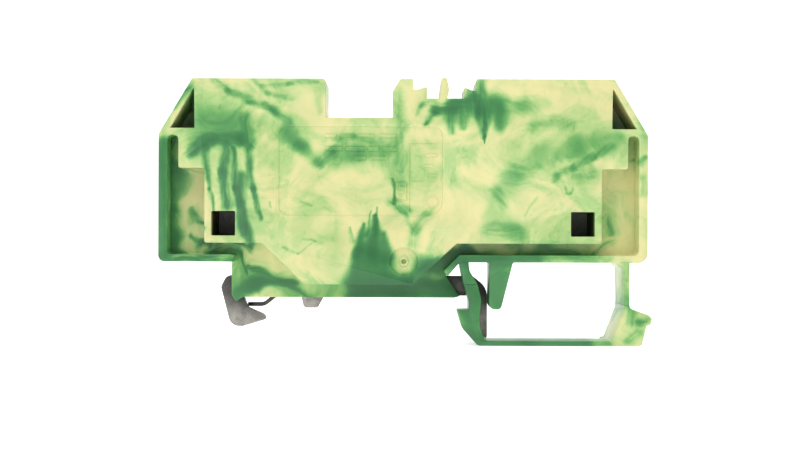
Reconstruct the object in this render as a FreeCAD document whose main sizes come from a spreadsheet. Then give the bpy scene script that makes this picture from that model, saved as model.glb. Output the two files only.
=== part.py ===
import FreeCAD, Part
import math
import os

import Sketcher
from FreeCAD import Placement, Rotation, Vector

# A rail-mounted ground terminal block with two cage-type spring clamps.
# Axes: X runs along the block, across the rail; Y is the block's width, from the closed front face
# at -Y to the open back at +Y; Z is up. The origin is the middle of the rail seat.
# The upper half of the block mirrors about the plane X = middle, so its places are given as
# distances from that plane and drawn once for each side.

SIDES = (("left", -1), ("right", 1))

SIZES = {
    # whole block
    "block_width": 10.0,
    "half_length": 38.9,
    "middle": 7.46,
    "top_level": 35.0,
    "base_level": 5.85,
    "shoulder_level": 26.1,
    "shoulder_inset": 5.3,
    # front recess around the raised plateau
    "recess_depth": 4.7,
    "rim_side": 1.4,
    "rim_base": 1.12,
    "rim_left_end": -19.5,
    "slot_width": 1.75,
    "slot_top": 26.0,
    "step_level": 20.75,
    "plateau_half": 31.6,
    "plateau_low": 8.84,
    "keel_low": 2.3,
    # walls of the moulding
    "face_wall": 1.0,
    "floor_wall": 1.5,
    "partition": 1.3,
    # top edge
    "notch_left": -4.9,
    "notch_right": 5.75,
    "notch_floor": 28.8,
    "marker_floor": 31.9,
    "fin_x": 13.2,
    "ledge_x": 19.1,
    # lower body on the rail
    "seat_left": -18.5,
    "seat_right": 15.9,
    "lower_left": -20.3,
    "nose_drop": 0.6,
    "finger_x": 13.9,
    "stop_x": 21.2,
    "stop_low": -1.62,
    # clamp places, from the middle plane
    "chamber_inner": 12.76,
    "chamber_outer": 30.8,
    "chamber_floor": 9.8,
    "chamber_top": 28.9,
    "window_inner": 26.7,
    "window_outer": 30.5,
    "window_low": 10.0,
    "window_top": 13.9,
    "clamp_y": 0.4,
    "entry_place": 27.46,
    "entry_size": 6.0,
    "entry_mouth": 7.2,
    "tool_place": 14.86,
    "tool_length": 4.2,
    # current bar
    "bar_thickness": 1.8,
    "bar_width": 5.2,
    "bar_outer": 24.06,
    "bar_low": 9.9,
    "bar_top": 28.6,
    # clamp spring strip
    "strip": 0.8,
    "strip_width": 7.6,
    "loop_place": 19.51,
    "loop_level": 14.8,
    "loop_radius": 2.3,
    "seat_leg_top": 21.0,
    "window_leg_top": 27.5,
    "cage_end": 25.76,
    "window_width": 6.0,
    # metal foot
    "foot_front": 1.3,
    "foot_thickness": 1.95,
    "leg_thickness": 1.2,
    "leg_left": -9.3,
    "leg_right": -5.35,
    "rivet_radius": 0.6,
    # latch foot
    "latch_depth": 5.9,
    "lever_top": 5.8,
    "lever_split": 2.45,
    "latch_low": -7.4,
    "strip_x": 42.65,
    "strip_thickness": 0.85,
    "strip_split": -0.8,
    # leaf contact
    "leaf_front": 3.6,
    "leaf_width": 1.2,
    "leaf_thickness": 0.64,
    "leaf_end": -18.07,
    "leaf_low": -1.7,
    "leaf_bend": -15.27,
    "leaf_root": -12.85,
    "leaf_rise": 1.94,
}


class Dim:
    """A length tied to the sheet: its value in millimetres and the expression that gives it."""

    def __init__(self, value, text):
        self.value = value
        self.text = text

    def __add__(self, other):
        return Dim(self.value + value_of(other), f"({self.text} + {text_of(other)})")

    def __radd__(self, other):
        return self + other

    def __neg__(self):
        return Dim(-self.value, f"(-1 * {self.text})")

    def __sub__(self, other):
        return Dim(self.value - value_of(other), f"({self.text} - {text_of(other)})")

    def __rsub__(self, other):
        return -self + other

    def __mul__(self, factor):
        return Dim(self.value * factor, f"({self.text} * {factor})")

    def __rmul__(self, factor):
        return self * factor


def value_of(size):
    return size.value if isinstance(size, Dim) else float(size)


def text_of(size):
    return size.text if isinstance(size, Dim) else f"({float(size)})"


def bind(thing, path, size):
    """Ties one property or constraint of an object to the sheet."""
    if isinstance(size, Dim):
        thing.setExpression(path, size.text)


def fill_sheet(document):
    """Writes the driving dimensions and returns them as Dims by name."""
    sheet = document.addObject("Spreadsheet::Sheet", "sizes")
    dims = {}
    for row, (alias, value) in enumerate(SIZES.items(), start=1):
        sheet.set(f"A{row}", alias.replace("_", " "))
        sheet.set(f"B{row}", str(value))
        sheet.setAlias(f"B{row}", alias)
        dims[alias] = Dim(value, f"sizes.{alias}")
    document.recompute()
    return dims


doc = FreeCAD.newDocument("terminal_block")
size = fill_sheet(doc)

front = size["block_width"] * -0.5
back = size["block_width"] * 0.5
recess_floor = front + size["recess_depth"]
wall_back = recess_floor + size["floor_wall"]
inner_face = front + size["face_wall"]
middle = size["middle"]
lever_back = front + size["latch_depth"]
rivet_x = (size["leg_left"] + size["leg_right"]) * 0.5
FOOT_RIVET_Z = 1.9
FOOT_RIVET_GAP = 0.95
# A level below the seat, from which the cuts that open downwards start.
BELOW_SEAT = -1.5


# ---------------------------------------------------------------- sketch and feature helpers

def new_body(label):
    body = doc.addObject("PartDesign::Body", label)
    body.Label = label
    body.Placement = Placement(Vector(0, 0, 0), Rotation())
    return body


def new_sketch(body, name, role, level):
    """A sketch on the body's XZ or XY plane, moved to the given Y or Z level."""
    plane = next(item for item in body.Origin.OriginFeatures if item.Role == role)
    sketch = body.newObject("Sketcher::SketchObject", name)
    sketch.AttachmentSupport = [(plane, "")]
    sketch.MapMode = "FlatFace"
    offset = -1 * level if role == "XZ_Plane" else level
    sketch.AttachmentOffset = Placement(Vector(0, 0, value_of(offset)), Rotation())
    bind(sketch, "AttachmentOffset.Base.z", offset)
    return sketch


def pin_point(sketch, geometry, position, point):
    """Fixes one point of a sketch by its two distances from the sketch's origin."""
    for kind, distance in zip(("DistanceX", "DistanceY"), point):
        index = sketch.addConstraint(
            Sketcher.Constraint(kind, -1, 1, geometry, position, value_of(distance)))
        bind(sketch, f"Constraints[{index}]", distance)


def corner_arc(before, corner, after, radius):
    """The tangent points and the arc that round a corner, with its turning direction."""
    to_before = (before - corner).normalize()
    to_after = (after - corner).normalize()
    half_angle = to_before.getAngle(to_after) / 2
    reach = radius / math.tan(half_angle)
    enter = corner + to_before * reach
    leave = corner + to_after * reach
    bisector = (to_before + to_after).normalize()
    centre = corner + bisector * (radius / math.sin(half_angle))
    turns_left = to_before.cross(to_after).z < 0
    first, last = (enter, leave) if turns_left else (leave, enter)
    start = math.atan2(first.y - centre.y, first.x - centre.x)
    end = math.atan2(last.y - centre.y, last.x - centre.x)
    if end < start:
        end += 2 * math.pi
    arc = Part.ArcOfCircle(Part.Circle(centre, Vector(0, 0, 1), radius), start, end)
    return enter, leave, arc, turns_left


def draw_outline(sketch, points):
    """Draws a closed outline. Each point is (across, up) or (across, up, corner radius)."""
    places = [Vector(value_of(point[0]), value_of(point[1]), 0) for point in points]
    count = len(points)
    enters = list(places)
    leaves = list(places)
    arcs = {}
    for index, point in enumerate(points):
        if len(point) == 3:
            enters[index], leaves[index], arc, turns_left = corner_arc(
                places[index - 1], places[index], places[(index + 1) % count], value_of(point[2]))
            arcs[index] = (arc, turns_left)
    lines = []
    for index in range(count):
        line = Part.LineSegment(leaves[index], enters[(index + 1) % count])
        lines.append(sketch.addGeometry(line, False))
    for index, point in enumerate(points):
        incoming = lines[index - 1]
        outgoing = lines[index]
        if index not in arcs:
            sketch.addConstraint(Sketcher.Constraint("Coincident", incoming, 2, outgoing, 1))
            pin_point(sketch, outgoing, 1, point[:2])
            continue
        arc, turns_left = arcs[index]
        curve = sketch.addGeometry(arc, False)
        corner = sketch.addGeometry(Part.Point(places[index]), True)
        arc_ends = (1, 2) if turns_left else (2, 1)
        sketch.addConstraint(Sketcher.Constraint("Tangent", incoming, 2, curve, arc_ends[0]))
        sketch.addConstraint(Sketcher.Constraint("Tangent", outgoing, 1, curve, arc_ends[1]))
        sketch.addConstraint(Sketcher.Constraint("Radius", curve, value_of(point[2])))
        sketch.addConstraint(Sketcher.Constraint("PointOnObject", corner, 1, incoming))
        sketch.addConstraint(Sketcher.Constraint("PointOnObject", corner, 1, outgoing))
        pin_point(sketch, corner, 1, point[:2])


def draw_circle(sketch, centre, radius):
    place = Vector(value_of(centre[0]), value_of(centre[1]), 0)
    circle = sketch.addGeometry(Part.Circle(place, Vector(0, 0, 1), value_of(radius)), False)
    pin_point(sketch, circle, 3, centre)
    index = sketch.addConstraint(Sketcher.Constraint("Radius", circle, value_of(radius)))
    bind(sketch, f"Constraints[{index}]", radius)


def extrude(body, kind, name, sketch, length):
    feature = body.newObject(f"PartDesign::{kind}", name)
    feature.Profile = sketch
    feature.Length = value_of(length)
    bind(feature, "Length", length)
    doc.recompute()
    return feature


def add_block(body, name, points, near, far):
    """Adds the outline's solid between two Y levels."""
    sketch = new_sketch(body, name + "_outline", "XZ_Plane", far)
    draw_outline(sketch, points)
    return extrude(body, "Pad", name, sketch, far - near)


def cut_block(body, name, points, near, far):
    """Cuts the outline's shape out between two Y levels."""
    sketch = new_sketch(body, name + "_outline", "XZ_Plane", near)
    draw_outline(sketch, points)
    return extrude(body, "Pocket", name, sketch, far - near)


def cut_round(body, name, centre, radius, near, far):
    sketch = new_sketch(body, name + "_outline", "XZ_Plane", near)
    draw_circle(sketch, centre, radius)
    return extrude(body, "Pocket", name, sketch, far - near)


def cut_down(body, name, points, high, low):
    """Cuts the outline's shape out between two Z levels."""
    sketch = new_sketch(body, name + "_outline", "XY_Plane", high)
    draw_outline(sketch, points)
    return extrude(body, "Pocket", name, sketch, high - low)


def box_points(low_x, high_x, low_z, high_z, radius=None):
    corners = [(low_x, low_z), (high_x, low_z), (high_x, high_z), (low_x, high_z)]
    return [(x, z, radius) if radius else (x, z) for x, z in corners]


def mirrored(sign, points):
    """Places an outline given as distances from the middle plane on one side of it."""
    placed = [(middle + sign * point[0], *point[1:]) for point in points]
    return placed if sign > 0 else placed[::-1]


# ---------------------------------------------------------------- housing

def housing_outline():
    """The outside edge of the moulding, anticlockwise from the small nose beside the rail."""
    left = middle - size["half_length"]
    right = middle + size["half_length"]
    top = size["top_level"]
    base = size["base_level"]
    inset = size["shoulder_inset"]
    seat_right = size["seat_right"]
    marker = size["marker_floor"]
    fin = size["fin_x"]
    ledge = size["ledge_x"]
    notch_left = size["notch_left"]
    notch_right = size["notch_right"]
    lower_body = [
        (size["lower_left"], 0.35, 0.25),
        (size["lower_left"] + 0.6, -size["nose_drop"], 0.25),
        (size["seat_left"] - 0.9, -size["nose_drop"], 0.25),
        (size["seat_left"], 0),
        (seat_right, 0),
        (seat_right + 0.8, 0.25),
        (seat_right - 1.45, 3.5),
        (seat_right + 0.1, 5.3),
        (seat_right + 0.7, base),
    ]
    right_end = [
        (right, base, 1.5),
        (right, size["shoulder_level"], 0.5),
        (right - inset, top, 0.5),
        (ledge, top, 0.2),
    ]
    marker_seat = [
        (ledge - 0.2, marker + 1.2),
        (ledge - 0.8, marker + 1.3),
        (ledge - 1.95, marker + 1.75),
        (ledge - 1.95, marker),
    ]
    marker_fin = [
        (fin + 1.2, marker),
        (fin + 1.55, marker + 1.35),
        (fin + 1.15, top + 0.15, 0.2),
        (fin + 0.35, top + 0.15, 0.2),
        (fin, marker),
    ]
    right_tower = [
        (notch_right + 5.45, marker),
        (notch_right + 5.45, marker + 1.85, 0.2),
        (notch_right + 3.75, marker + 1.35, 0.15),
        (notch_right + 3.25, marker + 1.45),
        (notch_right + 3.25, top, 0.1),
        (notch_right + 1.25, top, 0.3),
        (notch_right, marker + 1.1, 0.3),
        (notch_right, size["notch_floor"]),
    ]
    left_end = [
        (notch_left, size["notch_floor"]),
        (notch_left, top, 0.65),
        (left + inset, top, 0.5),
        (left, size["shoulder_level"], 0.5),
        (left, base, 1.0),
        (size["lower_left"], base),
    ]
    return lower_body + right_end + marker_seat + marker_fin + right_tower + left_end


def recess_outline():
    """The front recess: it runs around the plateau and keel and opens at the lower body's foot."""
    reach = size["half_length"] - size["rim_side"]
    slot_inner = reach - size["slot_width"]
    slot_top = size["slot_top"]
    rim_top = size["base_level"] + size["rim_base"]
    step = size["step_level"]
    low = size["plateau_low"]
    keel = size["keel_low"]
    left_part = [
        (middle - reach, rim_top, 0.6),
        (size["rim_left_end"], rim_top, 0.3),
        (size["rim_left_end"], size["base_level"]),
        (size["lower_left"] - 1, size["base_level"]),
        (size["lower_left"] - 1, BELOW_SEAT),
    ]
    # The rim ends on the right in a finger that slants down over the foot plate.
    finger = size["finger_x"]
    right_part = [
        (size["seat_right"] + 2.5, BELOW_SEAT),
        (finger + 0.65, 3.75, 0.3),
        (finger, 4.4, 0.4),
        (finger + 2.55, rim_top),
        (middle + reach, rim_top, 0.9),
    ]
    slot_radius = 0.8
    right_step = mirrored(1, [
        (reach, slot_top, slot_radius),
        (slot_inner, slot_top, slot_radius),
        (slot_inner, step, 0.3),
        (size["plateau_half"], step, 0.4),
        (size["plateau_half"], low, 0.4),
    ])
    keel_half = 8.6
    keel_top_half = 15.45
    keel_middle = 0.4
    keel_part = [
        (keel_middle + keel_top_half + 0.15, low, 0.4),
        (keel_middle + keel_half, keel, 0.4),
        (keel_middle - keel_half, keel, 0.4),
        (keel_middle - keel_top_half + 0.15, low, 0.4),
    ]
    left_step = mirrored(-1, [
        (reach, slot_top, slot_radius),
        (slot_inner, slot_top, slot_radius),
        (slot_inner, step, 0.3),
        (size["plateau_half"], step, 0.4),
        (size["plateau_half"], low, 0.4),
    ])
    return left_part + right_part + right_step + keel_part + left_step


def stop_outline():
    """The wedge that hangs from the base rim, with a small fillet on each side of its root."""
    base = size["base_level"]
    left = size["stop_x"]
    low = size["stop_low"]
    fillet = 0.35
    return [
        (left - 0.4, base + 0.2),
        (left - 0.4, base),
        (left, base, fillet),
        (left, low, 0.9),
        (left + 1.85, low, 0.75),
        (left + 3.75, base, fillet),
        (left + 4.25, base),
        (left + 4.25, base + 0.2),
    ]


def cut_front_details(body):
    """The pockets, windows, label panel and gate mark of the closed face."""
    for side, sign in SIDES:
        triangle = mirrored(sign, [(33.2, 27.1, 0.15), (37.1, 27.1, 0.1), (33.3, 33.6, 0.1)])
        cut_block(body, f"{side}_corner_pocket", triangle, front, back - 1.5)
        window = box_points(size["window_inner"], size["window_outer"],
                            size["window_low"], size["window_top"], 0.2)
        cut_block(body, f"{side}_window", mirrored(sign, window), front, back - 0.8)
    panel = [(-12.3, 13.15, 1.5), (13.7, 13.15, 2.3), (13.7, 27.4, 1.5), (-12.3, 27.4, 1.5)]
    cut_block(body, "label_panel", panel, front, front + 0.2)
    gate = (7.6, 5.95)
    cut_round(body, "gate_dimple", gate, 2.25, front, front + 0.5)
    cut_round(body, "gate_hole", gate, 0.35, front, front + 0.85)


def cut_back_hollows(body):
    """The chambers that open at the back: clamps, bar channel, centre, ends and keel."""
    inner = size["chamber_inner"]
    outer = size["chamber_outer"]
    floor = size["chamber_floor"]
    top = size["chamber_top"]
    gap = size["partition"]
    reach = size["half_length"] - size["rim_side"]
    well = size["window_inner"] - gap
    well_top = size["window_top"] + gap
    for side, sign in SIDES:
        # The chamber's outer lower corner stays solid around the deep window.
        chamber = [
            (inner, floor, 0.5),
            (well, floor, 0.5),
            (well, well_top, 0.5),
            (outer, well_top, 0.5),
            (outer, top, 0.8),
            (inner, top, 0.5),
        ]
        cut_block(body, f"{side}_clamp_chamber", mirrored(sign, chamber), inner_face, back)
        end_hollow = box_points(outer + 2 * gap, reach - 0.3, 7.9, size["shoulder_level"] - 0.8, 0.5)
        cut_block(body, f"{side}_end_hollow", mirrored(sign, end_hollow), wall_back, back)
        deck_hollow = box_points(18.5, 23.0, top + gap, size["top_level"] - gap, 0.5)
        cut_block(body, f"{side}_deck_hollow", mirrored(sign, deck_hollow), inner_face, back)
    channel = box_points(middle - inner - 0.5, middle + inner + 0.5, floor, floor + 2.0)
    cut_block(body, "bar_channel", channel, size["clamp_y"] - size["bar_width"] * 0.5 - 0.1, back)
    low = floor + 2.0 + gap
    right = middle + inner - gap
    left = middle - inner + gap
    centre = [
        (left, low, 0.5),
        (right, low, 0.5),
        (right, size["marker_floor"] - gap, 0.5),
        (size["notch_right"] + gap, size["marker_floor"] - gap, 0.5),
        (size["notch_right"] + gap, size["notch_floor"] - gap),
        (left, size["notch_floor"] - gap, 0.5),
    ]
    cut_block(body, "centre_hollow", centre, inner_face, back)
    keel = [(-8.0, 4.6, 0.5), (8.4, 4.6, 0.5), (12.4, 8.5, 0.5), (-12.0, 8.5, 0.5)]
    cut_block(body, "keel_hollow", keel, inner_face, back)


def cut_metal_slots(body):
    """The slots for the foot plate, the ground leg and the leaf, all open below the seat."""
    foot_back = size["foot_front"] + size["foot_thickness"]
    foot_slot = box_points(size["lower_left"] - 1, size["seat_right"] + 2, BELOW_SEAT, 3.7)
    cut_block(body, "foot_slot", foot_slot, wall_back, foot_back + 0.2)
    leg_slot = box_points(size["leg_left"] - 0.15, size["leg_right"] + 0.15, BELOW_SEAT, 10.0)
    cut_block(body, "leg_slot", leg_slot, foot_back, back)
    leaf_slot = box_points(size["leaf_bend"], size["leaf_root"] + 0.35, BELOW_SEAT, 3.7)
    cut_block(body, "leaf_slot", leaf_slot, foot_back, back)


def square_around(centre, width, radius):
    """A rounded square in the XY plane, centred on the clamps' Y."""
    half = width * 0.5
    y = size["clamp_y"]
    return box_points(centre - half, centre + half, y - half, y + half, radius)


def cut_deck_openings(body):
    """The square conductor entries with their funnels, and the slots for the tool."""
    top = size["top_level"]
    deck_under = size["chamber_top"] - 0.2
    for side, sign in SIDES:
        entry_x = middle + sign * size["entry_place"]
        passage = square_around(entry_x, size["entry_size"], 1.0)
        cut_down(body, f"{side}_entry", passage, top, deck_under)
        mouth = square_around(entry_x, size["entry_mouth"], 1.4)
        funnel = cut_down(body, f"{side}_funnel", mouth, top, top - 2.5)
        funnel.TaperAngle = -13
        tool_x = middle + sign * size["tool_place"]
        half = size["tool_length"] * 0.5
        half_entry = size["entry_size"] * 0.5
        y = size["clamp_y"]
        slot = box_points(tool_x - half, tool_x + half, y - half_entry, y + half_entry, 0.5)
        cut_down(body, f"{side}_tool_slot", slot, top, deck_under)
    doc.recompute()


def make_housing():
    """The moulded housing, with the fixed stop that limits the latch foot's travel."""
    body = new_body("housing")
    add_block(body, "outer_shape", housing_outline(), front, back)
    cut_block(body, "front_recess", recess_outline(), front, recess_floor)
    add_block(body, "latch_stop", stop_outline(), front, lever_back)
    cut_front_details(body)
    cut_back_hollows(body)
    cut_metal_slots(body)
    cut_deck_openings(body)
    return body


# ---------------------------------------------------------------- metal parts

def make_current_bar():
    """The U-shaped bar: a leg in each clamp chamber and a web along the channel between them."""
    body = new_body("current_bar")
    outer = size["bar_outer"]
    inner = outer - size["bar_thickness"]
    low = size["bar_low"]
    web_top = low + size["bar_thickness"]
    top = size["bar_top"]
    outline = [
        (middle - outer, low, 2.0),
        (middle + outer, low, 2.0),
        (middle + outer, top, 0.5),
        (middle + inner, top, 0.5),
        (middle + inner, web_top, 0.4),
        (middle - inner, web_top, 0.4),
        (middle - inner, top, 0.5),
        (middle - outer, top, 0.5),
    ]
    half = size["bar_width"] * 0.5
    y = size["clamp_y"]
    add_block(body, "bar", outline, y - half, y + half)
    sketch = new_sketch(body, "rivet_hole_outline", "XY_Plane", web_top + 0.5)
    draw_circle(sketch, (rivet_x, y), size["rivet_radius"] * 2 + 0.02)
    extrude(body, "Pocket", "rivet_hole", sketch, size["bar_thickness"] + 1)
    return body


def make_ground_leg():
    """The strap from the current bar to the foot, with a nose that hangs into the rail's channel."""
    body = new_body("ground_leg")
    left = size["leg_left"]
    right = size["leg_right"]
    near = size["foot_front"] + size["foot_thickness"] + 0.05
    far = near + size["leg_thickness"]
    tab_low = size["bar_low"] + size["bar_thickness"]
    tab_top = tab_low + size["leg_thickness"]
    strap = [
        (left, 0.3, 0.4),
        (left + 0.5, -1.9, 0.6),
        (right - 1.2, -1.9, 0.6),
        (right, 0.3, 0.6),
        (right, tab_top),
        (left, tab_top),
    ]
    add_block(body, "strap", strap, near, far)
    tab_front = size["clamp_y"] - size["bar_width"] * 0.5 + 0.2
    add_block(body, "tab", box_points(left, right, tab_low, tab_top), tab_front, far)
    sketch = new_sketch(body, "tab_hole_outline", "XY_Plane", tab_top + 0.5)
    draw_circle(sketch, (rivet_x, size["clamp_y"]), size["rivet_radius"] * 2 + 0.02)
    extrude(body, "Pocket", "tab_hole", sketch, size["leg_thickness"] + 1)
    for name, shift in (("first", -FOOT_RIVET_GAP), ("second", FOOT_RIVET_GAP)):
        hole = (rivet_x + shift, FOOT_RIVET_Z)
        cut_round(body, f"{name}_hole", hole, size["rivet_radius"] + 0.02, near - 0.5, far + 0.5)
    return body


def make_foot_plate():
    """The stamped foot: a hook for the rail's left edge, a strip and an arm behind the latch."""
    body = new_body("foot_plate")
    near = size["foot_front"]
    far = near + size["foot_thickness"]
    left = size["seat_left"]
    arm = [
        (18.1, 0.25, 0.3),
        (18.1, -5.1, 0.5),
        (19.3, -6.85, 0.4),
        (21.25, -6.85, 0.6),
        (21.25, 1.6, 3.0),
        (18.9, 3.45, 1.0),
    ]
    hook = [
        (left - 2.8, 3.45, 1.2),
        (left - 3.75, 1.6, 1.0),
        (left - 2.1, -4.8, 1.7),
        (left - 0.2, -4.85, 1.2),
        (left + 3.8, -3.65, 0.35),
        (left + 3.25, -2.9, 0.4),
        (left + 0.6, -1.75, 0.7),
        (left - 0.1, 0.25, 0.3),
    ]
    add_block(body, "plate", arm + hook, near, far)
    for name, shift in (("first", -FOOT_RIVET_GAP), ("second", FOOT_RIVET_GAP)):
        hole = (rivet_x + shift, FOOT_RIVET_Z)
        cut_round(body, f"{name}_hole", hole, size["rivet_radius"] + 0.02, near - 0.5, far + 0.5)
    return body


def make_clamp_spring(side, sign):
    """The fixed leg beside the bar and the U loop that stores the clamp's force."""
    body = new_body(f"clamp_spring_{side}")
    half_strip = size["strip"] * 0.5
    place = size["loop_place"]
    radius = size["loop_radius"]
    level = size["loop_level"]
    far_out = place + radius + half_strip
    far_in = place + radius - half_strip
    near_out = place - radius - half_strip
    near_in = place - radius + half_strip
    low = level - radius - half_strip
    loop_outer = value_of(radius + half_strip) - 0.02
    loop_inner = value_of(radius - half_strip) - 0.02
    outline = mirrored(sign, [
        (near_out, level),
        (near_out, low, loop_outer),
        (far_out, low, loop_outer),
        (far_out, size["seat_leg_top"]),
        (far_in, size["seat_leg_top"]),
        (far_in, low + size["strip"], loop_inner),
        (near_in, low + size["strip"], loop_inner),
        (near_in, level),
    ])
    half = size["strip_width"] * 0.5
    add_block(body, "strip", outline, size["clamp_y"] - half, size["clamp_y"] + half)
    return body


def make_clamp_cage(side, sign):
    """The moving end of the clamp: operating leg, window leg and the bar that grips the wire."""
    body = new_body(f"clamp_cage_{side}")
    half_strip = size["strip"] * 0.5
    leg = size["loop_place"] - size["loop_radius"]
    low = size["loop_level"] + 0.05
    top = size["window_leg_top"]
    under = top - size["strip"]
    lean = 1.37
    outline = mirrored(sign, [
        (leg + half_strip, low),
        (leg - half_strip, low),
        (leg - half_strip - lean, top, 2.0),
        (size["cage_end"], top, 0.25),
        (size["cage_end"], under, 0.25),
        (leg + half_strip - lean, under, 1.2),
    ])
    half = size["strip_width"] * 0.5
    y = size["clamp_y"]
    add_block(body, "strip", outline, y - half, y + half)
    half_window = size["window_width"] * 0.5
    low_y = y - half_window
    high_y = y + half_window
    window_end = size["cage_end"] - 1.6
    window_start = leg - 0.35
    corners = [(window_start, low_y), (window_end, low_y), (window_end, high_y), (window_start, high_y)]
    window = mirrored(sign, [(*corner, 0.4) for corner in corners])
    cut_down(body, "window", window, top + 0.5, under - 0.4)
    return body


def rivet(name, radius, head_radius, length, head_height):
    """One rivet along +Z from its flush end, with a tapered head on top."""
    shank = doc.addObject("Part::Cylinder", f"{name}_shank")
    shank.Radius = value_of(radius)
    bind(shank, "Radius", radius)
    shank.Height = value_of(length)
    bind(shank, "Height", length)
    head = doc.addObject("Part::Cone", f"{name}_head")
    head.Radius1 = value_of(head_radius)
    bind(head, "Radius1", head_radius)
    head.Radius2 = value_of(head_radius * 0.6)
    bind(head, "Radius2", head_radius * 0.6)
    head.Height = head_height
    head.Placement = Placement(Vector(0, 0, value_of(length)), Rotation())
    bind(head, "Placement.Base.z", length)
    joined = doc.addObject("Part::Fuse", name)
    joined.Base = shank
    joined.Tool = head
    return joined


def make_foot_rivets():
    """The two rivets that join the ground leg to the foot plate, set from the back."""
    length = size["foot_thickness"] + size["leg_thickness"] + 0.05
    turned = Rotation(Vector(1, 0, 0), -90)
    rivets = []
    for name, shift in (("foot_rivet_1", -FOOT_RIVET_GAP), ("foot_rivet_2", FOOT_RIVET_GAP)):
        piece = rivet(name, size["rivet_radius"], size["rivet_radius"] + 0.3, length, 0.3)
        place_x = rivet_x + shift
        place = Vector(value_of(place_x), value_of(size["foot_front"]), FOOT_RIVET_Z)
        piece.Placement = Placement(place, turned)
        bind(piece, "Placement.Base.x", place_x)
        bind(piece, "Placement.Base.y", size["foot_front"])
        rivets.append(piece)
    group = doc.addObject("Part::Compound", "foot_rivets")
    group.Label = "foot_rivets"
    group.Links = rivets
    group.Placement = Placement(Vector(0, 0, 0), Rotation())
    return group


def make_bar_rivet():
    """The larger rivet that joins the ground leg's tab to the current bar."""
    length = size["bar_thickness"] + size["leg_thickness"]
    piece = rivet("bar_rivet", size["rivet_radius"] * 2, size["rivet_radius"] * 2 + 0.5, length, 0.5)
    piece.Label = "bar_rivet"
    place = Vector(value_of(rivet_x), value_of(size["clamp_y"]), value_of(size["bar_low"]))
    piece.Placement = Placement(place, Rotation())
    bind(piece, "Placement.Base.x", rivet_x)
    bind(piece, "Placement.Base.y", size["clamp_y"])
    bind(piece, "Placement.Base.z", size["bar_low"])
    return piece


def make_rail_leaf():
    """The sprung leaf that presses the rail's edge up against the seat."""
    body = new_body("rail_leaf")
    thick = size["leaf_thickness"]
    end = size["leaf_end"]
    low = size["leaf_low"]
    bend = size["leaf_bend"]
    root = size["leaf_root"]
    # The strip rises on a slant from the bend to the root; each inner corner lies off its
    # outer one by the thickness times the tangent of half the turn.
    slant = math.atan2(size["leaf_rise"].value, root.value - bend.value)
    bend_shift = thick * round(math.tan(slant / 2), 4)
    root_shift = thick * round(math.tan((math.pi / 2 - slant) / 2), 4)
    root_low = low + size["leaf_rise"]
    root_top = 3.0
    outline = [
        (end, low + thick),
        (end, low, 0.15),
        (bend, low, 2.0),
        (root, root_low, 1.0),
        (root, root_top),
        (root - thick, root_top),
        (root - thick, root_low + root_shift, 0.36),
        (bend - bend_shift, low + thick, 1.36),
    ]
    near = size["leaf_front"]
    add_block(body, "leaf", outline, near, near + size["leaf_width"])
    return body


# ---------------------------------------------------------------- latch foot

def make_latch_foot():
    """The sliding foot: hook tooth, bottom bar and the full-width block with the tool tab."""
    body = new_body("latch_foot")
    low = size["latch_low"]
    bar_top = low + 0.8
    split = size["lever_split"]
    hook = [
        (17.15, split),
        (17.95, -0.3, 1.5),
        (17.95, -1.72, 0.15),
        (16.1, -1.78, 0.15),
        (16.9, -4.6, 2.0),
        (19.4, low, 1.0),
        (44.0, low),
        (44.0, bar_top),
        (20.4, bar_top, 1.2),
        (19.55, -3.7, 3.0),
        (19.95, 0.0, 3.0),
        (19.3, split),
    ]
    add_block(body, "hook_and_bar", hook, front, lever_back)
    strip_x = size["strip_x"]
    strip_low = size["strip_split"]
    outer = strip_x + size["strip_thickness"]
    block = [
        (strip_x, strip_low),
        (strip_x, -1.7, 1.0),
        (strip_x - 1.9, bar_top, 0.4),
        (strip_x - 2.5, bar_top),
        (strip_x - 2.5, low),
        (outer + 1.95, low, 0.6),
        (outer + 2.7, -4.2, 0.2),
        (outer + 3.35, -3.95, 0.3),
        (outer + 3.6, -3.1, 0.3),
        (outer + 3.15, -2.5, 0.3),
        (outer, -1.35, 0.7),
        (outer, strip_low),
    ]
    add_block(body, "tab_block", block, front, back)
    return body


def make_latch_flexures():
    """The two sprung legs that carry the latch foot from the housing's base rim."""
    left_leg = new_body("latch_flexure_left")
    top = size["lever_top"]
    split = size["lever_split"] + 0.02
    lever = [
        (17.15, split),
        (19.3, split),
        (18.05, 4.5, 2.0),
        (17.9, top),
        (16.5, top),
        (16.7, 4.5, 2.0),
    ]
    add_block(left_leg, "lever", lever, front, lever_back)
    right_leg = new_body("latch_flexure_right")
    strip_x = size["strip_x"]
    outer = strip_x + size["strip_thickness"]
    strip_low = size["strip_split"] + 0.02
    strip = [
        (strip_x, strip_low),
        (outer, strip_low),
        (outer, top),
        (strip_x - 1.0, top),
        (strip_x, top - 1.0, 0.9),
    ]
    add_block(right_leg, "strip", strip, front, back)
    return [left_leg, right_leg]


# ---------------------------------------------------------------- the whole block

def make_parts():
    parts = [make_housing(), make_current_bar(), make_ground_leg(), make_foot_plate()]
    parts += [make_foot_rivets(), make_bar_rivet(), make_rail_leaf(), make_latch_foot()]
    parts += make_latch_flexures()
    for side, sign in SIDES:
        parts += [make_clamp_spring(side, sign), make_clamp_cage(side, sign)]
    return parts


def check_document():
    """Stops the build at the first feature that failed or came out empty."""
    for item in doc.Objects:
        bad_states = [state for state in item.State if state in ("Invalid", "Error")]
        if bad_states:
            raise RuntimeError(f"{item.Name} is {bad_states}")
        shape = getattr(item, "Shape", None)
        if shape is not None and (shape.isNull() or not shape.isValid()):
            raise RuntimeError(f"{item.Name} has a bad shape")


def export(parts):
    os.makedirs("parts", exist_ok=True)
    for part in parts:
        part.Shape.exportStep(f"parts/{part.Label}.step")
        print(part.Label, "solids", len(part.Shape.Solids), "volume", round(part.Shape.Volume, 1))


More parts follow.
